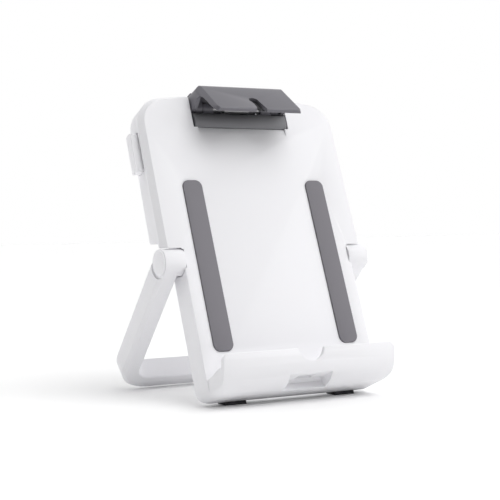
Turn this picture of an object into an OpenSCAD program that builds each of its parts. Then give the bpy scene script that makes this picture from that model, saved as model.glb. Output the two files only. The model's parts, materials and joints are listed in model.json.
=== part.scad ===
/* [Stance] */
// Backward lean of the front panel from upright, degrees
panel_tilt = 22; // [20:0.25:24]

/* [Upper plate] */
// Width of the plate's flat front face
plate_w = 189; // [187:1:191]
// Height of the face's top edge above the reference line
plate_top = 160; // [159:0.5:161]
// Radius of the face's two top corners
corner_r = 24; // [20:1:28]
// Radius of the arched top edge
arch_r = 526; // [450:10:700]
// Depth of the bevel round the face
rim_d = 6; // [5.5:0.25:6.5]
// Width that the bevel adds on each side
rim_out = 4; // [3:0.25:4.5]
// Thickness of the plate's rim
plate_t = 8.5; // [8.25:0.25:8.75]
// Height of the plate's lower edge beside the hinges
plate_low = 17.4; // [17:0.1:18]
// Wall thickness of the mouldings
wall = 3; // [2.6:0.1:3.2]

/* [Lower panel and tray] */
// Width of the lower panel
lower_w = 164; // [163:0.5:164.5]
// Width across the ends of the tray lip
lip_w = 163; // [161:0.2:163.4]
// Thickness of the lower panel
lower_t = 24; // [24:0.5:25]
// Height of the tray floor
tray_v = -97; // [-98:0.5:-97]
// Height of the underside
base_v = -113.2; // [-113.4:0.1:-113]
// Radius of the tray's front lower curve
belly_r = 26; // [25.5:0.25:26.5]
// Half width of the finger notch in the lip
notch_r = 12.8; // [11:0.2:14]
// Half width of the cable pocket under the lip
pocket_u = 20.5; // [18:0.5:24]

/* [Grip strips] */
// Width of each rubber strip
strip_w = 18; // [16:0.5:19]
// Distance from the middle of the panel to a strip's middle
strip_u = 61; // [58:0.5:62]
// Lower end of the strips
strip_v0 = -74; // [-76:1:-70]
// Upper end of the strips
strip_v1 = 78; // [70:1:80]
// Thickness of the strips
strip_t = 2.3; // [1.8:0.1:2.4]

/* [Hinge] */
// Height of the hinge axis
hinge_v = 7.67; // [7.4:0.05:7.9]
// Depth of the hinge axis behind the front face
hinge_d = 9.5; // [9.3:0.05:9.8]
// Radius of the barrels
barrel_r = 11.5; // [11:0.1:11.6]
// Radius of the hollow round each barrel
notch_hinge_r = 12.6; // [12.3:0.1:12.8]
// Radius of the hinge pins
pin_r = 4; // [3.5:0.1:4.2]

/* [Leg] */
// Distance across the outside of the arms
leg_w = 203.2; // [202:0.2:205]
// Width of an arm seen from behind
arm_w = 15.3; // [14:0.1:15.6]
// Thickness of an arm
arm_t = 23; // [22:0.5:23]
// Length from the hinge axis to the end of the leg
leg_len = 147.6; // [147:0.1:148]
// Bevel along the outer edges
bevel = 3.3; // [2.5:0.1:3.6]
// Outer radius of the leg's corners
leg_corner_r = 27; // [24:1:30]

/* [Clip] */
// Half width of the recess that the clip sits in
recess_u = 48; // [47.5:0.25:49]
// Lower edge of the recess
recess_v = 129.3; // [129:0.1:130]
// Travel of the clip
clip_travel = 30; // [20:1:30]
// Half width of the clip bar
bar_u = 46; // [44:0.5:46.4]
// Radius of the hood's crown
hood_r = 16.4; // [16:0.2:17]
// Wall of the hood
hood_t = 3.2; // [2.6:0.1:3.4]

/* [Button] */
// Height of the button's middle
button_v = 109; // [108:0.5:110]
// Length of the button
button_l = 36; // [34:0.5:38]
// How far the button stands out of the side
button_out = 6; // [5:0.5:6.5]

/* [Hidden] */
$fn = 64;
half_w = plate_w / 2;
side_u = half_w + rim_out;
side_shift = (side_u + button_out - leg_w / 2) / 2;
foot_v = base_v - 3.19;
foot_w = -12.5;
panel_height = -foot_v * cos(panel_tilt) - foot_w * sin(panel_tilt);
panel_shift = -25.6;
axis_z = panel_height + hinge_v * cos(panel_tilt) - hinge_d * sin(panel_tilt);
pad_mid = [-arm_t / 2 + bevel / 2, -leg_len + bevel / 2];
pad_drop = 1.5;
leg_lean = atan2(-pad_mid[0], -pad_mid[1]) + acos((axis_z - pad_drop) / norm(pad_mid));
leg_angle = panel_tilt + leg_lean;
half_l = lower_w / 2;
corner_u = half_w - corner_r;
arch_c = plate_top - arch_r;
corner_v = round(1000 * (arch_c + sqrt(pow(arch_r - corner_r, 2) - pow(corner_u, 2)))) / 1000;
wedge_u = corner_u / (arch_r - corner_r);
wedge_v = (corner_v - arch_c) / (arch_r - corner_r);
belly_c = [7.72, base_v + belly_r];
lip_dir = [0.3928, 0.9196];
lip_nrm = [0.9196, -0.3928];
lip_foot = belly_c + belly_r * lip_nrm;
lip_top = lip_foot + 7.4 * lip_dir;
wall_side = 0.3;
button_w = 15.7;
shell_front = plate_t + 0.3;
shell_back = 24.3;
hood_c = [2, 150];
hood_n = [0.808, 0.589];
hood_s = [0.589, -0.808];
hood_len = 36.8;
hood_half = 46.8;
hood_top = hood_c[1] + hood_r;
crown_r = 420;
jaw_pin = [-6, 150];
jaw_pin_r = 2.5;
rod_u = 30;
rod_w = 15.5;
rod_r = 2.2;
block_v0 = 88;
block_v1 = 110;
leg_in = leg_w / 2 - arm_w;
barrel_in = 80.8;
barrel_out = 100.4;
slop = 0.05;
shell_fix = [[85, 144], [58, 150], [88, 60], [66, 44]];
cover_fix = [[72, -60], [40, 12]];

// Placement helpers: u runs across, v up the panel, w out of its front face

module panel() {
  translate([side_shift, panel_shift, panel_height]) rotate([-panel_tilt, 0, 0]) children();
}

module face_slab(w0, w1) {
  rotate([90, 0, 0]) translate([0, 0, w0]) linear_extrude(height = w1 - w0) children();
}

module side_run(u0, u1) {
  rotate([90, 0, -90]) translate([0, 0, -u1]) linear_extrude(height = u1 - u0) children();
}

module block(u0, u1, v0, v1, w0, w1) {
  translate([u0, -w1, v0]) cube([u1 - u0, w1 - w0, v1 - v0]);
}

module u_rod(u0, u1, v, w, r) {
  translate([u0, -w, v]) rotate([0, 90, 0]) cylinder(h = u1 - u0, r = r);
}

module w_rod(u, v, w0, w1, r) {
  translate([u, -w0, v]) rotate([90, 0, 0]) cylinder(h = w1 - w0, r = r);
}

module v_rod(u, w, v0, v1, r) {
  translate([u, -w, v0]) cylinder(h = v1 - v0, r = r);
}

module both_sides() {
  children();
  mirror([1, 0, 0]) children();
}

module round_rect(w, h, r) {
  union() {
    square([w - 2 * r, h], center = true);
    square([w, h - 2 * r], center = true);
    for (x = [-1, 1], y = [-1, 1])
      translate([x * (w / 2 - r), y * (h / 2 - r)]) circle(r = r);
  }
}

// Outlines

module plate_outline(d, low) {
  union() {
    translate([-(half_w - d), low]) square([2 * (half_w - d), corner_v - low]);
    translate([-corner_u, corner_v]) circle(r = corner_r - d);
    translate([corner_u, corner_v]) circle(r = corner_r - d);
    intersection() {
      translate([0, arch_c]) circle(r = arch_r - d, $fn = 180);
      polygon([[-corner_u, corner_v - 1], [corner_u, corner_v - 1], [corner_u, corner_v],
        [corner_u + 60 * wedge_u, corner_v + 60 * wedge_v],
        [-corner_u - 60 * wedge_u, corner_v + 60 * wedge_v], [-corner_u, corner_v]]);
    }
  }
}

module bevel_disc(r) {
  rotate([-90, 0, 0]) union() {
    cylinder(h = rim_d, r1 = r, r2 = r + rim_out);
    translate([0, 0, rim_d]) cylinder(h = plate_t - rim_d, r = r + rim_out);
  }
}

module plate_wedge() {
  face_slab(-60, 60) polygon([[-corner_u, corner_v], [corner_u, corner_v],
    [corner_u + 60 * wedge_u, corner_v + 60 * wedge_v],
    [-corner_u - 60 * wedge_u, corner_v + 60 * wedge_v]]);
}

module plate_solid() {
  union() {
    translate([0, 0, plate_low]) linear_extrude(height = corner_v - plate_low)
      polygon([[-half_w, 0], [half_w, 0], [side_u, rim_d], [side_u, plate_t],
        [-side_u, plate_t], [-side_u, rim_d]]);
    for (x = [-corner_u, corner_u]) translate([x, 0, corner_v]) bevel_disc(corner_r + 0.02);
    intersection() {
      translate([0, 0, arch_c]) bevel_disc(arch_r, $fn = 180);
      plate_wedge();
    }
  }
}

module lower_outline(d) {
  r = 9 - d;
  hw = half_l - d;
  v0 = base_v + d;
  union() {
    translate([-hw, v0 + r]) square([2 * hw, 30 - v0 - r]);
    translate([-hw + r, v0]) square([2 * (hw - r), r + 1]);
    translate([-hw + r, v0 + r]) circle(r = r);
    translate([hw - r, v0 + r]) circle(r = r);
  }
}

module body_profile() {
  union() {
    polygon([[-lower_t, -101.2], [0, -101.2], [0, 23], [-shell_front, 23.5], [-lower_t, 28.9]]);
    translate([-lower_t + 12, base_v + 12]) circle(r = 12);
    translate([-lower_t + 12, base_v]) square([lower_t - 12 + belly_c[0], tray_v - base_v]);
    intersection() {
      translate(belly_c) circle(r = belly_r);
      polygon([[belly_c[0] - 1, base_v - 1], [belly_c[0] - 1, tray_v], [40, tray_v], [40, base_v - 1]]);
    }
    polygon([[0, tray_v], belly_c + [0, tray_v - belly_c[1]], lip_foot - 9 * lip_nrm, lip_foot,
      lip_foot + [0, 0.01], [0, tray_v]]);
    lip_profile();
  }
}

module lip_profile() {
  top_out = lip_top;
  top_in = lip_top - 5.2 * lip_nrm;
  fil_r = 8;
  fil_s = (tray_v + fil_r - lip_foot[1] + (5.2 + fil_r) * lip_nrm[1]) / lip_dir[1];
  fil = lip_foot - (5.2 + fil_r) * lip_nrm + fil_s * lip_dir;
  difference() {
    union() {
      polygon([lip_foot, top_out, top_out + 4.6 * lip_dir - 2 * lip_nrm,
        top_out + 5 * lip_dir - 2.8 * lip_nrm, top_out + 4.6 * lip_dir - 4.2 * lip_nrm,
        top_in + 3.6 * lip_dir, fil + fil_r * lip_nrm, fil, [fil[0], tray_v], [14, tray_v - 3]]);
      translate(belly_c) intersection() {
        circle(r = belly_r);
        polygon([[6, -14], [6, -10], [40, -4], [40, -25]]);
      }
    }
    translate(fil) circle(r = fil_r);
  }
}

module body_hollow_profile() {
  union() {
    polygon([[-lower_t - 1, -100], [-wall, -100], [-wall, 20.4], [-shell_front, 21], [-lower_t - 1, 25.6]]);
    intersection() {
      union() {
        translate([-lower_t + 12, base_v + 12]) circle(r = 12 - wall);
        translate([-lower_t + 12, base_v + wall]) square([lower_t - 12 + belly_c[0], 12]);
        translate(belly_c) circle(r = belly_r - wall);
        translate([-lower_t + wall, base_v + 12]) square([10, 10]);
      }
      translate([-lower_t + wall, base_v]) square([60, -base_v + tray_v - wall]);
    }
  }
}

module foot_profile(g) {
  rise = 12.5 * tan(panel_tilt);
  polygon([[foot_w + g, foot_v], [foot_w - 12.5 - g, foot_v + rise],
    [foot_w - 12.5 - g, foot_v + rise + 5.14], [foot_w + g, foot_v + 5.14]]);
}

module pocket_profile() {
  polygon([[45, -104.4], [9, -104.4], [6.5, -107], [9.8, -112.45], [12, -125], [45, -125]]);
}

// Front panel

module front_panel() {
  color([0.89, 0.88, 0.91]) panel() difference() {
    union() {
      difference() {
        union() {
          plate_solid();
          intersection() {
            side_run(-half_l, half_l) body_profile();
            face_slab(-40, 50) lower_outline(0);
            union() {
              block(-half_l, half_l, -130, 60, -40, 0.5);
              block(-lip_w / 2, lip_w / 2, -130, -60, 0.4, 50);
            }
          }
        }
        face_slab(-plate_t - 1, -wall) plate_outline(wall + 0.5, plate_low + wall);
        intersection() {
          side_run(-half_l + wall, half_l - wall) body_hollow_profile();
          face_slab(-60, 60) lower_outline(wall);
        }
      }
      both_sides() block(recess_u, recess_u + wall, 118, 156, -plate_t, -1);
      block(-recess_u - wall, recess_u + wall, 118, recess_v, -6, -1);
      both_sides() block(79, half_w - 1, plate_low, plate_low + 6, -plate_t, -1);
      both_sides() u_rod(62, 80.3, hinge_v, -hinge_d, 9.2);
      both_sides() panel_bosses();
      intersection() {
        block(-pocket_u - 3, pocket_u + 3, -113, -97.5, 4, 34);
        side_run(-90, 90) body_profile();
      }
    }
    clip_recess();
    both_sides() u_rod(80.3, 110, hinge_v, -hinge_d, notch_hinge_r);
    both_sides() u_rod(60, 90, hinge_v, -hinge_d, 6);
    both_sides() u_rod(53.5, 62, hinge_v, -hinge_d, 8.3);
    both_sides() block(half_l, 110, -40, plate_low, -60, 10);
    both_sides() strip_pocket();
    both_sides() side_run(43, 63) foot_profile(0.02);
    both_sides() panel_screw_holes();
    face_slab(0.1, 60) translate([0, -83]) circle(r = notch_r);
    side_run(-pocket_u, pocket_u) pocket_profile();
    block(-8, 8, -106, -96, 10, 20);
    face_slab(1, 60) lip_corner_cut();
    mirror([1, 0, 0]) face_slab(1, 60) lip_corner_cut();
  }
}

module lip_corner_cut() {
  difference() {
    translate([lip_w / 2 - 6, -90.4]) square([12, 12]);
    translate([lip_w / 2 - 6, -90.4]) circle(r = 6);
  }
}

module clip_recess() {
  union() {
    block(-recess_u, recess_u, recess_v, 170, -plate_t - 1, 2);
    side_run(-recess_u + 4, recess_u - 4)
      polygon([[0.5, 121.9], [0.5, recess_v + 1], [-2.2, recess_v + 1], [-2.2, recess_v], [0, 122.1]]);
    both_sides() translate([recess_u - 4, 0, recess_v]) rotate([90, 0, 0])
      cylinder(h = 1.2, r = 4);
  }
}

module strip_pocket() {
  face_slab(-1, 1) translate([strip_u, (strip_v0 + strip_v1) / 2])
    round_rect(strip_w + 0.6, strip_v1 - strip_v0 + 0.6, 6.3);
}

module panel_bosses() {
  for (p = shell_fix) w_rod(p[0], p[1], -plate_t, -1, 4);
  for (p = cover_fix) w_rod(p[0], p[1], -lower_t + 2, -1, 4);
}

module panel_screw_holes() {
  for (p = shell_fix) w_rod(p[0], p[1], -plate_t - 1, -3.4, 1.5);
  for (p = cover_fix) w_rod(p[0], p[1], -lower_t, -8, 1.5);
}

// Rear shell and lower cover

module shell_side() {
  polygon([[-shell_front, 24], [-shell_back + 1.4, 29.2], [-shell_back, 30.8], [-22.6, 150],
    [-21.7, 157.5], [-18.6, 164.6], [-shell_front, 165]]);
}

module shell_hollow() {
  polygon([[-shell_front + 1, 27], [-20.4, 31.6], [-21.8, 33.2], [-20.2, 149], [-19.6, 155],
    [-17.4, 160.4], [-shell_front + 1, 160.4]]);
}

module rear_shell() {
  color([0.91, 0.91, 0.93]) panel() difference() {
    union() {
      difference() {
        intersection() {
          face_slab(-45, -shell_front) plate_outline(wall_side - rim_out, 20);
          side_run(-110, 110) shell_side();
        }
        intersection() {
          face_slab(-45, -shell_front + 1) plate_outline(wall - rim_out + 0.5, 20);
          side_run(-110, 110) shell_hollow();
        }
      }
      both_sides() shell_posts();
      both_sides() block(rod_u - 6, rod_u + 6, 44, 50, -22.5, -12.9);
      both_sides() block(rod_u - 6, rod_u + 6, 141.2, 145, -21.5, -12.9);
      block(-6, 6, 46, 51, -22.5, -12);
      block(-78.6, -76, 112, 128, -22, -10.4);
    }
    both_sides() shell_holes();
    both_sides() v_rod(rod_u, -rod_w, 40, 150, rod_r + 0.02);
    block(-110, -90, button_v - button_l / 2 - 0.4, button_v + button_l / 2 + 0.4,
      -button_w - 5.4, -shell_front + 1);
    block(-recess_u - 1, recess_u + 1, 145.3, 175, -18, -5);
  }
}

module shell_posts() {
  for (p = shell_fix) w_rod(p[0], p[1], -22, -shell_front, 4.6);
}

module shell_holes() {
  for (p = shell_fix) {
    w_rod(p[0], p[1], -45, -6, 1.7);
    w_rod(p[0], p[1], -45, -17, 3.4);
  }
}

module lower_cover() {
  color([0.9, 0.9, 0.92]) panel() difference() {
    union() {
      block(-78.7, 78.7, -99.6, 24.4, -lower_t, -lower_t + 2);
      for (x = [-66, -22, 22, 66]) block(x - 1, x + 1, -96, -30, -lower_t + 1.9, -lower_t + 4);
    }
    both_sides() for (p = cover_fix) {
      w_rod(p[0], p[1], -30, -10, 1.7);
      w_rod(p[0], p[1], -30, -lower_t + 1, 3.2);
    }
  }
}

// Rubber parts

module grip_strip() {
  face_slab(-1, -1 + strip_t) translate([strip_u, (strip_v0 + strip_v1) / 2])
    round_rect(strip_w, strip_v1 - strip_v0, 6);
}

module grip_strip_left() {
  color([0.42, 0.41, 0.43]) panel() mirror([1, 0, 0]) grip_strip();
}

module grip_strip_right() {
  color([0.42, 0.41, 0.43]) panel() grip_strip();
}

module foot_left() {
  color([0.2, 0.2, 0.21]) panel() mirror([1, 0, 0]) side_run(43.02, 62.98) foot_profile(0);
}

module foot_right() {
  color([0.2, 0.2, 0.21]) panel() side_run(43.02, 62.98) foot_profile(0);
}

// Hinge parts

module hinge_bush() {
  difference() {
    union() {
      u_rod(62, 80.3, hinge_v, -hinge_d, 5.98);
      u_rod(61, 62, hinge_v, -hinge_d, 8);
    }
    u_rod(50, 90, hinge_v, -hinge_d, pin_r + slop);
  }
}

module hinge_bush_left() {
  color([0.75, 0.62, 0.35]) panel() mirror([1, 0, 0]) hinge_bush();
}

module hinge_bush_right() {
  color([0.75, 0.62, 0.35]) panel() hinge_bush();
}

module friction_washer() {
  difference() {
    u_rod(59.8, 61, hinge_v, -hinge_d, 7.6);
    u_rod(50, 90, hinge_v, -hinge_d, pin_r + 0.3);
  }
}

module friction_washer_left() {
  color([0.7, 0.71, 0.73]) panel() mirror([1, 0, 0]) friction_washer();
}

module friction_washer_right() {
  color([0.7, 0.71, 0.73]) panel() friction_washer();
}

module hinge_pin() {
  union() {
    u_rod(54, 97, hinge_v, -hinge_d, pin_r);
    u_rod(97, 99, hinge_v, -hinge_d, 7.4);
  }
}

module hinge_pin_left() {
  color([0.7, 0.71, 0.73]) panel() mirror([1, 0, 0]) hinge_pin();
}

module hinge_pin_right() {
  color([0.7, 0.71, 0.73]) panel() hinge_pin();
}

module hinge_nuts() {
  color([0.66, 0.67, 0.7]) panel() both_sides() difference() {
    translate([55.2, hinge_d, hinge_v]) rotate([0, 90, 0]) cylinder(h = 4.2, r = 7.2, $fn = 6);
    u_rod(50, 90, hinge_v, -hinge_d, pin_r + 0.01);
  }
}

module rod_body() {
  v_rod(rod_u, -rod_w, 44.5, 144.5, rod_r);
}

module slide_rod_left() {
  color([0.75, 0.76, 0.78]) panel() mirror([1, 0, 0]) rod_body();
}

module slide_rod_right() {
  color([0.75, 0.76, 0.78]) panel() rod_body();
}

module pan_screw(u, v, w_seat, w_tip, r_head) {
  union() {
    w_rod(u, v, w_seat - 1.8, w_seat, r_head);
    w_rod(u, v, w_seat - 0.1, w_tip, 1.45);
  }
}

module shell_screws() {
  color([0.55, 0.56, 0.58]) panel() both_sides()
    for (p = shell_fix) pan_screw(p[0], p[1], -17, -4, 2.9);
}

module cover_screws() {
  color([0.55, 0.56, 0.58]) panel() both_sides()
    for (p = cover_fix) pan_screw(p[0], p[1], -lower_t + 1, -9, 2.9);
}

// Leg

module leg_place() {
  translate([0, hinge_d, hinge_v]) rotate([leg_angle, 0, 0]) children();
}

module arm_section() {
  t = arm_t / 2;
  polygon([[0, -t + 1], [1, -t], [arm_w - bevel, -t], [arm_w, -t + bevel], [arm_w, t - bevel],
    [arm_w - bevel, t], [1, t], [0, t - 1]]);
}

module leg_frame() {
  cu = leg_w / 2 - leg_corner_r;
  cs = leg_len - leg_corner_r;
  color([0.9, 0.89, 0.92]) panel() leg_place() difference() {
    union() {
      both_sides() {
        translate([leg_in, 0, -cs]) linear_extrude(height = cs) arm_section();
        translate([cu, 0, -cs]) rotate([-90, 0, 0]) leg_corner();
        translate([barrel_in, 0, 0]) rotate([0, 90, 0])
          cylinder(h = barrel_out - barrel_in, r = barrel_r);
      }
      rotate([0, 90, 0]) translate([leg_len - arm_w, 0, -cu]) linear_extrude(height = 2 * cu) arm_section();
    }
    both_sides() {
      rotate([0, 90, 0]) cylinder(h = 97, r = pin_r + 0.01);
      translate([96.9, 0, 0]) rotate([0, 90, 0]) cylinder(h = 10, r = 7.5);
      translate([99.4, 0, 0]) rotate([0, 90, 0]) cylinder(h = 10, r = barrel_r + 2);
    }
    both_sides() pad_block(4, 22);
  }
}

module leg_corner() {
  rotate_extrude(angle = 90)
    translate([leg_corner_r - arm_w, 0]) arm_section();
}

module pad_block(u0, u1) {
  translate([u0, pad_mid[0], pad_mid[1]]) rotate([-leg_lean, 0, 0])
    translate([0, -1.9, -pad_drop]) cube([u1 - u0, 3.8, 2.4]);
}

module leg_pads() {
  color([0.2, 0.2, 0.21]) panel() leg_place() both_sides() pad_block(4, 22);
}

module leg_cap() {
  leg_place() union() {
    translate([99.45, 0, 0]) rotate([0, 90, 0]) cylinder(h = 1.2, r = barrel_r - 0.4);
    translate([100.65, 0, 0]) rotate([0, 90, 0]) cylinder(h = 0.95, r1 = barrel_r - 0.4, r2 = barrel_r - 1.4);
  }
}

module leg_cap_left() {
  color([0.9, 0.89, 0.92]) panel() mirror([1, 0, 0]) leg_cap();
}

module leg_cap_right() {
  color([0.9, 0.89, 0.92]) panel() leg_cap();
}

// Clip

module clip_carriage() {
  color([0.33, 0.33, 0.35]) panel() difference() {
    union() {
      block(-bar_u, bar_u, block_v0, 140, -12.5, -6.8);
      block(-40, 40, block_v0, block_v1, -18.6, -12.4);
      intersection() {
        u_rod(-bar_u, bar_u, 136.2, -8, 7.4);
        block(-bar_u, bar_u, 129.7, 143.2, -12.5, 3);
      }
      both_sides() {
        block(24.3, 34.3, 139, 150, -9.5, -2.5);
        u_rod(24.3, 34.3, 150, -6, 4.8);
      }
    }
    u_rod(-60, 60, 150, -6, jaw_pin_r + slop);
    both_sides() v_rod(rod_u, -rod_w, 80, 150, rod_r + slop);
    v_rod(0, -rod_w, block_v0 - 1, block_v0 + 4, 4.4);
  }
}

module clip_bar_cover() {
  color([0.42, 0.42, 0.44]) panel() difference() {
    intersection() {
      u_rod(-bar_u, bar_u, 136.2, -8, 9.6);
      block(-bar_u, bar_u, 129.7, 143.2, -6.7, 3);
    }
    u_rod(-60, 60, 136.2, -8, 7.42);
    both_sides() block(24.2, 34.4, 138, 152, -10, -2.4);
  }
}

module latch_strip() {
  color([0.2, 0.2, 0.21]) panel() block(-21, -17, 50, block_v0, -17.5, -13.5);
}

module coil(r_mid, r_wire, pitch, n) {
  rotate_extrude() for (i = [0 : n - 1]) translate([r_mid, i * pitch]) circle(r = r_wire, $fn = 16);
}

module carriage_spring() {
  color([0.7, 0.71, 0.73]) panel() translate([0, rod_w, 52]) coil(3.4, 0.7, 1.15, 34);
}

module hood_outer() {
  tip = hood_c + hood_r * hood_n + hood_len * hood_s;
  union() {
    translate(hood_c) circle(r = hood_r);
    polygon([hood_c - hood_r * hood_s, hood_c + hood_r * hood_n, tip - 1 * hood_s,
      tip - 0.6 * hood_n, tip - hood_t * hood_n - [0, 0.4], hood_c - hood_r * hood_n]);
  }
}

module hood_inner() {
  union() {
    translate(hood_c) circle(r = hood_r - hood_t);
    translate(hood_c) polygon([[0, 0], (hood_r - hood_t) * hood_n,
      (hood_r - hood_t) * hood_n + 60 * hood_s, -10 * hood_n + 60 * hood_s]);
  }
}

module hood_under() {
  polygon([[-30, 60], [-30, 151], [-14.4, 151], [-9.5, 146], [-8, 144.8], [4, 144.6], [8, 147],
    [12.5, 150.4], [16, 150.6], [20, 147.6], [25.5, 140.6], [31.5, 132.2], [36.3, 125.2], [38, 60]]);
}

module hood_plan(d) {
  polygon([[-46.8 + d, 30], [-46.8 + d, -5], [-46.2 + d, -14], [-45.2 + d, -24], [-44 + d, -30],
    [-42 + d, -34], [-39 + d, -36.6], [-35 + d, -38], [-35 + d, -45], [35 - d, -45], [35 - d, -38],
    [39 - d, -36.6], [42 - d, -34], [44 - d, -30], [45.2 - d, -24], [46.2 - d, -14], [46.8 - d, -5],
    [46.8 - d, 30]]);
}

module hood_front(d) {
  intersection() {
    translate([0, hood_top - crown_r]) circle(r = crown_r - d, $fn = 240);
    translate([0, hood_top - 51.2]) round_rect(2 * (hood_half - d), 2 * (50 - d), 11);
  }
}

module hood_slant(d) {
  n = hood_r;
  translate([0, -hood_c[0], hood_c[1]]) rotate([-36.1, 0, 0]) translate([0, 0, -60])
    linear_extrude(height = 120)
      polygon([[-46.8 + d, 40], [-46.8 + d, -9], [-45.6 + d, -12], [-43.6 + d, -14.4 + d / 2],
        [-40.8 + d, -n + d / 4], [-36, -n - 0.5], [36, -n - 0.5], [40.8 - d, -n + d / 4],
        [43.6 - d, -14.4 + d / 2], [45.6 - d, -12], [46.8 - d, -9], [46.8 - d, 40]]);
}

module clip_jaw() {
  color([0.4, 0.4, 0.42]) panel() difference() {
    union() {
      difference() {
        intersection() {
          side_run(-50, 50) hood_outer();
          translate([0, 0, 100]) linear_extrude(height = 80) hood_plan(0);
          face_slab(-30, 60) hood_front(0);
          hood_slant(0);
        }
        intersection() {
          side_run(-60, 60) hood_inner();
          translate([0, 0, 90]) linear_extrude(height = 100) hood_plan(3.2);
          hood_slant(3.2);
        }
        side_run(-60, 60) hood_under();
        both_sides() block(23.4, 34.9, 135, 152.5, -20, -8);
      }
      both_sides() {
        u_rod(35, 44.5, jaw_pin[1], jaw_pin[0], 4.8);
        block(35, 44.5, 150, 162.5, -10.4, -1.2);
      }
    }
    u_rod(-45, 45, jaw_pin[1], jaw_pin[0], jaw_pin_r + 0.01);
    keyhole();
  }
}

module keyhole() {
  c = hood_c + (hood_r - 1.5) * hood_n + 21 * hood_s;
  translate([0.5, -c[0], c[1]]) rotate([-36.1, 0, 0]) {
    rotate([90, 0, 0]) cylinder(h = 12, r = 4.4, center = true);
    rotate([90, 0, 0]) linear_extrude(height = 12, center = true)
      polygon([[-3.4, -2.8], [4.4, 0], [5.2, -10], [6.6, -18], [-5, -18], [-3.2, -13.5], [-2.8, -7]]);
  }
}

module jaw_pad() {
  c = hood_c + (hood_r - hood_t - 0.02) * hood_n;
  color([0.1, 0.1, 0.11]) panel() translate([0, -c[0], c[1]]) rotate([-36.1, 0, 0]) union() {
    translate([-38.5, 0, -30]) cube([77, 1.2, 24]);
    for (i = [-9 : 9]) translate([i * 4.2 - 0.6, 0, -30]) cube([1.2, 3, 24]);
  }
}

module jaw_pin() {
  color([0.75, 0.76, 0.78]) panel() u_rod(-44.5, 44.5, 150, -6, jaw_pin_r);
}

module jaw_spring() {
  color([0.7, 0.71, 0.73]) panel() translate([-12, 6, 150]) rotate([0, 90, 0])
    coil(3.9, 0.7, 1.2, 21);
}

// Release button

module release_button() {
  v0 = button_v - button_l / 2;
  color([0.9, 0.9, 0.92]) panel() union() {
    translate([-side_u - button_out, button_w, button_v]) rotate([0, 90, 0])
      linear_extrude(height = button_out + 4) round_rect(button_l, 10, 2.5);
    block(-94.6, -92.6, 79, v0 + button_l + 2.5, -20.1, -button_w + 5.2);
    block(-92.7, -14, 80, 87, -20.6, -18.6);
  }
}

module brake_shoe() {
  color([0.2, 0.2, 0.21]) panel() block(-16.6, -14.4, 80, 87, -18.6, -13.6);
}

module button_spring() {
  color([0.7, 0.71, 0.73]) panel() translate([-91.7, button_w, 120]) rotate([0, 90, 0])
    coil(3, 0.6, 1.03, 13);
}

front_panel();
rear_shell();
lower_cover();
grip_strip_left();
grip_strip_right();
foot_left();
foot_right();
hinge_bush_left();
hinge_bush_right();
friction_washer_left();
friction_washer_right();
slide_rod_left();
slide_rod_right();
shell_screws();
cover_screws();
leg_frame();
leg_cap_left();
leg_cap_right();
leg_pads();
hinge_pin_left();
hinge_pin_right();
hinge_nuts();
clip_carriage();
clip_bar_cover();
latch_strip();
carriage_spring();
clip_jaw();
jaw_pad();
jaw_pin();
jaw_spring();
release_button();
brake_shoe();
button_spring();
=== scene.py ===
"""Tablet stand: a leaning panel with a lipped tray, a sliding top clip and a folding rear leg."""

import json
import math

import bmesh
import bpy
from bpy.props import FloatProperty, FloatVectorProperty, IntProperty, PointerProperty
from mathutils import Matrix, Vector

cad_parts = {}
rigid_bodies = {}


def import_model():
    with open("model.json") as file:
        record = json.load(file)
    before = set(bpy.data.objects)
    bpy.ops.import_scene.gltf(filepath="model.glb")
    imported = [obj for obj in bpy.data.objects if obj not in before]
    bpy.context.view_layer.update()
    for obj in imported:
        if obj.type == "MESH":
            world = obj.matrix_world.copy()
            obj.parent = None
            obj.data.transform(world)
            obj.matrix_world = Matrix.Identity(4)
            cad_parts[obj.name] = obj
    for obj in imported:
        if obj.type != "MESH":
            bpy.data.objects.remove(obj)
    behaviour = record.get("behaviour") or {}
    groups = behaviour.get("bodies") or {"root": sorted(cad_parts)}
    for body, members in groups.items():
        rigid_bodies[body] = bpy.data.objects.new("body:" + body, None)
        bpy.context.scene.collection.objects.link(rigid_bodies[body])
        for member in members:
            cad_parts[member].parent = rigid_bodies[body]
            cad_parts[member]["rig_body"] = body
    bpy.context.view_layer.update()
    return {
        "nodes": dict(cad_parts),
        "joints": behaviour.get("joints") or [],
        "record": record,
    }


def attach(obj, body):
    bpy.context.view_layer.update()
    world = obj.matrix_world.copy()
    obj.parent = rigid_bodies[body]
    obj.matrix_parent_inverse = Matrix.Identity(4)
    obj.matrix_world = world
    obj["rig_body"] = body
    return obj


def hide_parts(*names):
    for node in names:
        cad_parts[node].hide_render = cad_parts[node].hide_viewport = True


bl_info = {
    "name": "Tablet stand",
    "version": (1, 0, 0),
    "blender": (4, 5, 0),
    "location": "View3D > Sidebar > Tablet stand",
    "description": "Builds a folding tablet stand with a sliding clip, on its packed frame",
    "category": "Add Mesh",
}

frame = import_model()
MERGE = 0.00002
FLAT = math.radians(0.6)

CAMERA_PLACE = Vector((-0.53205, -0.9452, 0.1544))
CAMERA_RIGHT = Vector((0.87309, -0.48741, -0.01191))
CAMERA_FORWARD = Vector((0.48697, 0.87298, -0.0277))
AIM = Vector((0.0, 0.0, 0.12))
KEY_PLACE = Vector((1.1, -0.85, 0.55))
KEY_AIM = Vector((0.0, 0.0, 0.14))
KEY_SIZE = 0.55
SIDE_PLACE = Vector((-1.4, 0.55, 0.55))
SIDE_SIZE = 0.7
TOP_SPREAD = math.radians(50.0)
TOP_TURN = (math.radians(35.0), 0.0, math.radians(25.0))
BRIGHT_WALL = Vector((0.487, 0.873, 0.15))
FLOOR_HALF = 6.0


# Frame positions


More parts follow.
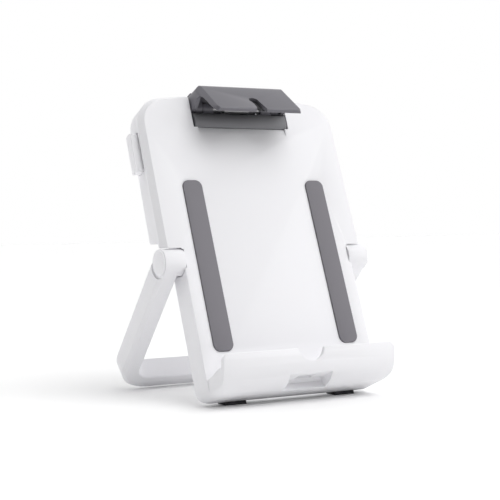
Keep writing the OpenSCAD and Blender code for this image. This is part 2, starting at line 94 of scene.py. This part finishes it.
def panel_axes():
    """The panel's own directions, from the clip's slide: across, up the face, and out of the face."""
    for joint in frame["joints"]:
        if joint["name"] == "carriage_slide":
            up = Vector(joint["axis"]).normalized()
            across = Vector((1.0, 0.0, 0.0))
            return across, up, across.cross(up)
    raise RuntimeError("the frame has no clip slide")


ACROSS, UP, OUT = panel_axes()


# Materials


def new_group(name, inputs, outputs):
    """An empty node group with the named sockets, and its two end nodes."""
    group = bpy.data.node_groups.new(name, "ShaderNodeTree")
    for label, kind, value in inputs:
        socket = group.interface.new_socket(label, in_out="INPUT", socket_type=kind)
        socket.default_value = value
    for label, kind in outputs:
        group.interface.new_socket(label, in_out="OUTPUT", socket_type=kind)
    entry = group.nodes.new("NodeGroupInput")
    leave = group.nodes.new("NodeGroupOutput")
    return group, entry, leave


def noise(group, link_from, scale_socket, detail, roughness):
    """A noise texture inside a group, on Object coordinates."""
    tex = group.nodes.new("ShaderNodeTexNoise")
    tex.inputs["Detail"].default_value = detail
    tex.inputs["Roughness"].default_value = roughness
    group.links.new(link_from, tex.inputs["Vector"])
    group.links.new(scale_socket, tex.inputs["Scale"])
    return tex


def moulded_grain_group():
    """Fine pebbled grain with a slower swell under it, as a tooled moulding has."""
    name = "moulded_grain"
    if name in bpy.data.node_groups:
        return bpy.data.node_groups[name]
    group, entry, leave = new_group(
        name,
        [("Grain Scale", "NodeSocketFloat", 1500.0), ("Swell Scale", "NodeSocketFloat", 60.0),
         ("Swell Amount", "NodeSocketFloat", 0.3)],
        [("Height", "NodeSocketFloat"), ("Mask", "NodeSocketFloat")],
    )
    coords = group.nodes.new("ShaderNodeTexCoord")
    fine = noise(group, coords.outputs["Object"], entry.outputs["Grain Scale"], 3.0, 0.55)
    slow = noise(group, coords.outputs["Object"], entry.outputs["Swell Scale"], 2.0, 0.5)
    mix = group.nodes.new("ShaderNodeMix")
    group.links.new(entry.outputs["Swell Amount"], mix.inputs[0])
    group.links.new(fine.outputs["Fac"], mix.inputs[2])
    group.links.new(slow.outputs["Fac"], mix.inputs[3])
    group.links.new(mix.outputs[0], leave.inputs["Height"])
    group.links.new(slow.outputs["Fac"], leave.inputs["Mask"])
    return group


def tone_group():
    """Slight drift in colour and roughness over the surface."""
    name = "tone_drift"
    if name in bpy.data.node_groups:
        return bpy.data.node_groups[name]
    group, entry, leave = new_group(
        name,
        [("Base", "NodeSocketColor", (0.8, 0.8, 0.8, 1.0)),
         ("Drift", "NodeSocketColor", (0.75, 0.75, 0.75, 1.0)),
         ("Drift Scale", "NodeSocketFloat", 25.0),
         ("Rough Low", "NodeSocketFloat", 0.35), ("Rough High", "NodeSocketFloat", 0.45)],
        [("Color", "NodeSocketColor"), ("Roughness", "NodeSocketFloat")],
    )
    coords = group.nodes.new("ShaderNodeTexCoord")
    drift = noise(group, coords.outputs["Object"], entry.outputs["Drift Scale"], 4.0, 0.6)
    ramp = group.nodes.new("ShaderNodeMapRange")
    ramp.inputs["From Min"].default_value = 0.35
    ramp.inputs["From Max"].default_value = 0.7
    group.links.new(drift.outputs["Fac"], ramp.inputs["Value"])
    colour = group.nodes.new("ShaderNodeMix")
    colour.data_type = "RGBA"
    group.links.new(ramp.outputs["Result"], colour.inputs[0])
    group.links.new(entry.outputs["Base"], colour.inputs[6])
    group.links.new(entry.outputs["Drift"], colour.inputs[7])
    rough = group.nodes.new("ShaderNodeMix")
    group.links.new(ramp.outputs["Result"], rough.inputs[0])
    group.links.new(entry.outputs["Rough Low"], rough.inputs[2])
    group.links.new(entry.outputs["Rough High"], rough.inputs[3])
    group.links.new(colour.outputs[2], leave.inputs["Color"])
    group.links.new(rough.outputs[0], leave.inputs["Roughness"])
    return group


def finish(name, base, drift, rough, grain, swell, bump, metallic=0.0, specular=0.5, drift_scale=25.0):
    """A material made of the shared grain and tone groups."""
    mat = bpy.data.materials.get(name)
    if mat:
        return mat
    mat = bpy.data.materials.new(name)
    mat.use_nodes = True
    tree = mat.node_tree
    shader = tree.nodes["Principled BSDF"]
    shader.inputs["Specular IOR Level"].default_value = specular
    shader.inputs["Metallic"].default_value = metallic
    tone = tree.nodes.new("ShaderNodeGroup")
    tone.node_tree = tone_group()
    tone.inputs["Base"].default_value = (*base, 1.0)
    tone.inputs["Drift"].default_value = (*drift, 1.0)
    tone.inputs["Drift Scale"].default_value = drift_scale
    tone.inputs["Rough Low"].default_value = rough[0]
    tone.inputs["Rough High"].default_value = rough[1]
    tree.links.new(tone.outputs["Color"], shader.inputs["Base Color"])
    tree.links.new(tone.outputs["Roughness"], shader.inputs["Roughness"])
    relief = tree.nodes.new("ShaderNodeGroup")
    relief.node_tree = moulded_grain_group()
    relief.inputs["Grain Scale"].default_value = grain
    relief.inputs["Swell Scale"].default_value = swell[0]
    relief.inputs["Swell Amount"].default_value = swell[1]
    bump_node = tree.nodes.new("ShaderNodeBump")
    bump_node.inputs["Strength"].default_value = bump[0]
    bump_node.inputs["Distance"].default_value = bump[1]
    tree.links.new(relief.outputs["Height"], bump_node.inputs["Height"])
    tree.links.new(bump_node.outputs["Normal"], shader.inputs["Normal"])
    return mat


def white_shell():
    """Satin off-white moulding."""
    c = bpy.context.scene.stand_finish.shell_colour
    return finish("white_shell", c, [v * 0.975 for v in c], (0.38, 0.46), 1700.0,
                  (45.0, 0.25), (0.10, 0.0002))


def grey_rubber():
    """Matt grey rubber of the grip strips."""
    c = bpy.context.scene.stand_finish.grip_colour
    return finish("grey_rubber", c, [v * 0.86 for v in c], (0.62, 0.74), 2400.0, (120.0, 0.3), (0.32, 0.0002),
                  specular=0.35, drift_scale=60.0)


def dark_rubber():
    """Black rubber of the feet and pads."""
    return finish("dark_rubber", (0.035, 0.035, 0.038), (0.055, 0.055, 0.058), (0.6, 0.8), 1500.0,
                  (100.0, 0.3), (0.3, 0.0002), specular=0.35, drift_scale=60.0)


def grey_clip():
    """Satin dark grey plastic of the clip."""
    c = bpy.context.scene.stand_finish.clip_colour
    return finish("grey_clip", c, [v * 0.88 for v in c], (0.5, 0.6), 1500.0, (70.0, 0.25), (0.16, 0.0002),
                  specular=0.3)


def bar_satin():
    """Smoother grey of the clip's bar."""
    c = bpy.context.scene.stand_finish.bar_colour
    return finish("bar_satin", c, [v * 0.92 for v in c], (0.26, 0.34), 1200.0, (90.0, 0.4), (0.08, 0.0002))


def dark_nylon():
    """Black nylon of the rack."""
    return finish("dark_nylon", (0.04, 0.04, 0.045), (0.06, 0.06, 0.062), (0.4, 0.5), 1400.0,
                  (80.0, 0.3), (0.15, 0.0002))


def bright_steel():
    """Ground steel of pins, rods and screws."""
    return finish("bright_steel", (0.62, 0.62, 0.64), (0.5, 0.5, 0.52), (0.24, 0.36), 1800.0,
                  (200.0, 0.5), (0.15, 0.0001),
                  metallic=1.0, drift_scale=120.0)


def spring_steel():
    """Drawn spring wire."""
    return finish("spring_steel", (0.5, 0.5, 0.52), (0.4, 0.4, 0.41), (0.3, 0.42), 2200.0,
                  (300.0, 0.5), (0.15, 0.0001),
                  metallic=1.0, drift_scale=150.0)


def bush_brass():
    """Turned brass."""
    return finish("bush_brass", (0.68, 0.48, 0.2), (0.58, 0.4, 0.16), (0.28, 0.4), 1800.0,
                  (200.0, 0.5), (0.12, 0.0001),
                  metallic=1.0, drift_scale=120.0)


FINISHES = {
    "white_shell": white_shell,
    "grey_rubber": grey_rubber,
    "dark_rubber": dark_rubber,
    "grey_clip": grey_clip,
    "bar_satin": bar_satin,
    "dark_nylon": dark_nylon,
    "bush_brass": bush_brass,
    "spring_steel": spring_steel,
    "bright_steel": bright_steel,
}


def slot_of(node):
    """The record's material slot of a node."""
    for part in frame["record"]["subparts"]:
        if part["node"] == node:
            return part["material_slot"]
    raise RuntimeError("no sub-part entry for " + node)


def dress(obj, slot):
    """Gives a piece its one material."""
    obj.data.materials.clear()
    obj.data.materials.append(FINISHES[slot]())


# Mesh helpers


def add_piece(name, bm, body, slot, replaced, smooth):
    """Turns a bmesh into a piece that rides on a body, in place of the named nodes."""
    mesh = bpy.data.meshes.new(name)
    bm.to_mesh(mesh)
    bm.free()
    obj = bpy.data.objects.new(name, mesh)
    bpy.context.scene.collection.objects.link(obj)
    for face in mesh.polygons:
        face.use_smooth = True
    mesh.set_sharp_from_angle(angle=math.radians(smooth))
    dress(obj, slot)
    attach(obj, body)
    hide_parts(*replaced)
    return obj


def merged_copy(node):
    """A node's shape as one clean bmesh, with its flat faces whole again."""
    bm = bmesh.new()
    bm.from_mesh(frame["nodes"][node].data)
    bmesh.ops.remove_doubles(bm, verts=bm.verts, dist=MERGE)
    bmesh.ops.dissolve_degenerate(bm, edges=bm.edges, dist=MERGE)
    bmesh.ops.dissolve_limit(bm, angle_limit=FLAT, verts=bm.verts, edges=bm.edges)
    return bm


def corner_edges(bm, angle):
    """The edges that a tool would break, where two faces meet at more than the angle."""
    return [e for e in bm.edges if len(e.link_faces) == 2 and e.calc_face_angle(0.0) >= angle]


def eased(node, width, segments, angle):
    """A copy of a node with its sharp edges broken."""
    bm = merged_copy(node)
    edges = corner_edges(bm, math.radians(angle))
    bmesh.ops.bevel(
        bm, geom=edges, offset=width, offset_type="OFFSET", segments=segments, profile=0.5,
        affect="EDGES", clamp_overlap=True, material=-1, loop_slide=True,
    )
    return bm


def eased_piece(node, width, segments, angle=30.0, smooth=35.0):
    """The eased copy as a piece in the node's place."""
    bm = eased(node, width, segments, angle)
    body = frame["nodes"][node]["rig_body"]
    return add_piece(node + "_shape", bm, body, slot_of(node), [node], smooth)


# Settings


class StandSizes(bpy.types.PropertyGroup):
    """Small sizes that only the looks use."""

    edge: FloatProperty(
        name="Edge radius", description="Rounding of the shell's edges", default=0.0007,
        min=0.0002, max=0.0015, unit="LENGTH", subtype="DISTANCE",
    )
    fine_edge: FloatProperty(
        name="Fine edge radius", description="Rounding of small parts' edges", default=0.0004,
        min=0.0001, max=0.001, unit="LENGTH", subtype="DISTANCE",
    )
    clip_edge: FloatProperty(
        name="Clip edge radius", description="Rounding of the hook's edges", default=0.0009,
        min=0.0002, max=0.0015, unit="LENGTH", subtype="DISTANCE",
    )
    segments: IntProperty(
        name="Edge segments", description="Steps round each edge", default=3, min=1, max=6,
    )


class StandFinish(bpy.types.PropertyGroup):
    """Colours a user would change."""

    shell_colour: FloatVectorProperty(
        name="Shell", description="Colour of the white mouldings", default=(0.735, 0.722, 0.758),
        size=3, subtype="COLOR", min=0.0, max=1.0,
    )
    grip_colour: FloatVectorProperty(
        name="Grips", description="Colour of the rubber strips", default=(0.205, 0.2, 0.215),
        size=3, subtype="COLOR", min=0.0, max=1.0,
    )
    clip_colour: FloatVectorProperty(
        name="Clip", description="Colour of the clip", default=(0.098, 0.095, 0.107),
        size=3, subtype="COLOR", min=0.0, max=1.0,
    )
    bar_colour: FloatVectorProperty(
        name="Clip bar", description="Colour of the bar in front of the clip", default=(0.235, 0.23, 0.245),
        size=3, subtype="COLOR", min=0.0, max=1.0,
    )


class StandStage(bpy.types.PropertyGroup):
    """Light and camera."""

    key_power: FloatProperty(
        name="Key light", description="Strength of the large light", default=3.0, min=0.0, max=200.0,
        unit="POWER",
    )
    fill_power: FloatProperty(
        name="Fill light", description="Strength of the side light", default=2.6, min=0.0, max=200.0,
        unit="POWER",
    )
    top_power: FloatProperty(
        name="Top light", description="Strength of the light overhead", default=1.65, min=0.0, max=20.0,
    )
    sky: FloatProperty(
        name="Sky", description="Brightness of the wall behind the stand", default=1.0, min=0.0, max=3.0,
    )
    dim_sky: FloatProperty(
        name="Dim sky", description="Brightness towards the front left", default=0.05, min=0.0, max=3.0,
    )
    lens: FloatProperty(
        name="Lens", description="Focal length of the camera", default=89.25, min=20.0, max=200.0,
        unit="CAMERA",
    )


# Operators


class STAND_OT_stage(bpy.types.Operator):
    """Adds the floor, the lights and the camera"""

    bl_idname = "stand.stage"
    bl_label = "Stage"

    def execute(self, context):
        stage = context.scene.stand_stage
        bm = bmesh.new()
        bmesh.ops.create_grid(bm, x_segments=1, y_segments=1, size=FLOOR_HALF)
        mesh = bpy.data.meshes.new("floor")
        bm.to_mesh(mesh)
        bm.free()
        floor = bpy.data.objects.new("floor", mesh)
        context.scene.collection.objects.link(floor)
        mat = bpy.data.materials.new("floor_white")
        mat.use_nodes = True
        shader = mat.node_tree.nodes["Principled BSDF"]
        shader.inputs["Base Color"].default_value = (0.97, 0.97, 0.97, 1.0)
        shader.inputs["Roughness"].default_value = 0.9
        shader.inputs["Specular IOR Level"].default_value = 0.1
        mesh.materials.append(mat)

        world = bpy.data.worlds.new("studio")
        context.scene.world = world
        world.use_nodes = True
        self.studio_walls(world.node_tree, stage)
        context.scene.view_settings.view_transform = "Standard"

        self.area("key", context, KEY_PLACE, KEY_AIM, KEY_SIZE, stage.key_power)
        top = bpy.data.lights.new("top", "SUN")
        top.energy = stage.top_power
        top.angle = TOP_SPREAD
        above = bpy.data.objects.new("top", top)
        above.rotation_euler = TOP_TURN
        context.scene.collection.objects.link(above)
        self.area("side", context, SIDE_PLACE, AIM, SIDE_SIZE, stage.fill_power)

        camera = bpy.data.objects.new("camera", bpy.data.cameras.new("camera"))
        context.scene.collection.objects.link(camera)
        camera.data.sensor_width = 36.0
        camera.data.lens = stage.lens
        camera.data.clip_end = 50.0
        right = CAMERA_RIGHT.normalized()
        forward = CAMERA_FORWARD.copy()
        forward = (forward - right * forward.dot(right)).normalized()
        rise = right.cross(forward)
        turn = Matrix((right, rise, -forward)).transposed().to_4x4()
        camera.matrix_world = Matrix.Translation(CAMERA_PLACE) @ turn
        context.scene.camera = camera
        return {"FINISHED"}

    @staticmethod
    def studio_walls(tree, stage):
        """A white wall behind the stand that falls off to grey towards the front left."""
        coords = tree.nodes.new("ShaderNodeTexCoord")
        facing = tree.nodes.new("ShaderNodeVectorMath")
        facing.operation = "DOT_PRODUCT"
        tree.links.new(coords.outputs["Generated"], facing.inputs[0])
        facing.inputs[1].default_value = BRIGHT_WALL.normalized()
        fall = tree.nodes.new("ShaderNodeMapRange")
        fall.interpolation_type = "SMOOTHSTEP"
        tree.links.new(facing.outputs["Value"], fall.inputs["Value"])
        fall.inputs["From Min"].default_value = -0.55
        fall.inputs["From Max"].default_value = 0.5
        fall.inputs["To Min"].default_value = stage.dim_sky
        fall.inputs["To Max"].default_value = stage.sky
        back = tree.nodes["Background"]
        back.inputs["Color"].default_value = (1.0, 1.0, 1.0, 1.0)
        tree.links.new(fall.outputs["Result"], back.inputs["Strength"])

    @staticmethod
    def area(name, context, place, target, size, power):
        """A square soft light that looks at a point."""
        light = bpy.data.lights.new(name, "AREA")
        light.size = size
        light.energy = power
        obj = bpy.data.objects.new(name, light)
        obj.location = place
        obj.rotation_euler = (target - place).to_track_quat("-Z", "Y").to_euler()
        context.scene.collection.objects.link(obj)


class STAND_OT_panel(bpy.types.Operator):
    """Builds the front panel with its tray, the rear shell and the lower cover"""

    bl_idname = "stand.panel"
    bl_label = "Panel mouldings"

    def execute(self, context):
        sizes = context.scene.stand_sizes
        for node in ("front_panel", "rear_shell", "lower_cover"):
            eased_piece(node, sizes.edge, sizes.segments)
        return {"FINISHED"}


class STAND_OT_rubber(bpy.types.Operator):
    """Builds the grip strips, the feet and the pads"""

    bl_idname = "stand.rubber"
    bl_label = "Rubber parts"

    def execute(self, context):
        sizes = context.scene.stand_sizes
        for node in ("grip_strip_left", "grip_strip_right", "foot_left", "foot_right", "leg_pads"):
            eased_piece(node, sizes.fine_edge, sizes.segments)
        return {"FINISHED"}


class STAND_OT_leg(bpy.types.Operator):
    """Builds the folding leg and its caps"""

    bl_idname = "stand.leg"
    bl_label = "Leg"

    def execute(self, context):
        sizes = context.scene.stand_sizes
        for node in ("leg_frame", "leg_cap_left", "leg_cap_right"):
            eased_piece(node, sizes.edge, sizes.segments, angle=28.0)
        return {"FINISHED"}


class STAND_OT_clip(bpy.types.Operator):
    """Builds the sliding clip, its bar and its jaw"""

    bl_idname = "stand.clip"
    bl_label = "Clip"

    def execute(self, context):
        sizes = context.scene.stand_sizes
        eased_piece("clip_jaw", sizes.clip_edge, sizes.segments, angle=24.0, smooth=40.0)
        for node in ("clip_carriage", "clip_bar_cover", "jaw_pad"):
            eased_piece(node, sizes.fine_edge, sizes.segments)
        return {"FINISHED"}


class STAND_OT_button(bpy.types.Operator):
    """Builds the release button"""

    bl_idname = "stand.button"
    bl_label = "Release button"

    def execute(self, context):
        sizes = context.scene.stand_sizes
        eased_piece("release_button", sizes.edge, sizes.segments)
        return {"FINISHED"}


class STAND_OT_hardware(bpy.types.Operator):
    """Gives the pins, bushes, rods, springs and screws their finishes"""

    bl_idname = "stand.hardware"
    bl_label = "Hardware"

    def execute(self, context):
        for node, obj in frame["nodes"].items():
            dress(obj, slot_of(node))
        return {"FINISHED"}


class STAND_PT_panel(bpy.types.Panel):
    """Lists the stand's settings and pieces"""

    bl_idname = "STAND_PT_panel"
    bl_label = "Tablet stand"
    bl_space_type = "VIEW_3D"
    bl_region_type = "UI"
    bl_category = "Tablet stand"

    def draw(self, context):
        layout = self.layout
        scene = context.scene
        for group in (scene.stand_sizes, scene.stand_finish, scene.stand_stage):
            box = layout.box()
            for key in group.bl_rna.properties.keys():
                if key not in {"rna_type", "name"}:
                    box.prop(group, key)
        for operator in STEPS:
            layout.operator(operator.bl_idname)


STEPS = (
    STAND_OT_stage,
    STAND_OT_panel,
    STAND_OT_rubber,
    STAND_OT_leg,
    STAND_OT_clip,
    STAND_OT_button,
    STAND_OT_hardware,
)
GROUPS = (StandSizes, StandFinish, StandStage)


def register():
    """Registers the settings, the operators and the sidebar panel."""
    for cls in (*GROUPS, *STEPS, STAND_PT_panel):
        bpy.utils.register_class(cls)
    bpy.types.Scene.stand_sizes = PointerProperty(type=StandSizes)
    bpy.types.Scene.stand_finish = PointerProperty(type=StandFinish)
    bpy.types.Scene.stand_stage = PointerProperty(type=StandStage)


def unregister():
    """Takes them away again."""
    del bpy.types.Scene.stand_stage
    del bpy.types.Scene.stand_finish
    del bpy.types.Scene.stand_sizes
    for cls in reversed((*GROUPS, *STEPS, STAND_PT_panel)):
        bpy.utils.unregister_class(cls)


def main():
    """Builds everything."""
    register()
    bpy.ops.stand.stage()
    bpy.ops.stand.panel()
    bpy.ops.stand.rubber()
    bpy.ops.stand.leg()
    bpy.ops.stand.clip()
    bpy.ops.stand.button()
    bpy.ops.stand.hardware()


if __name__ == "__main__":
    main()
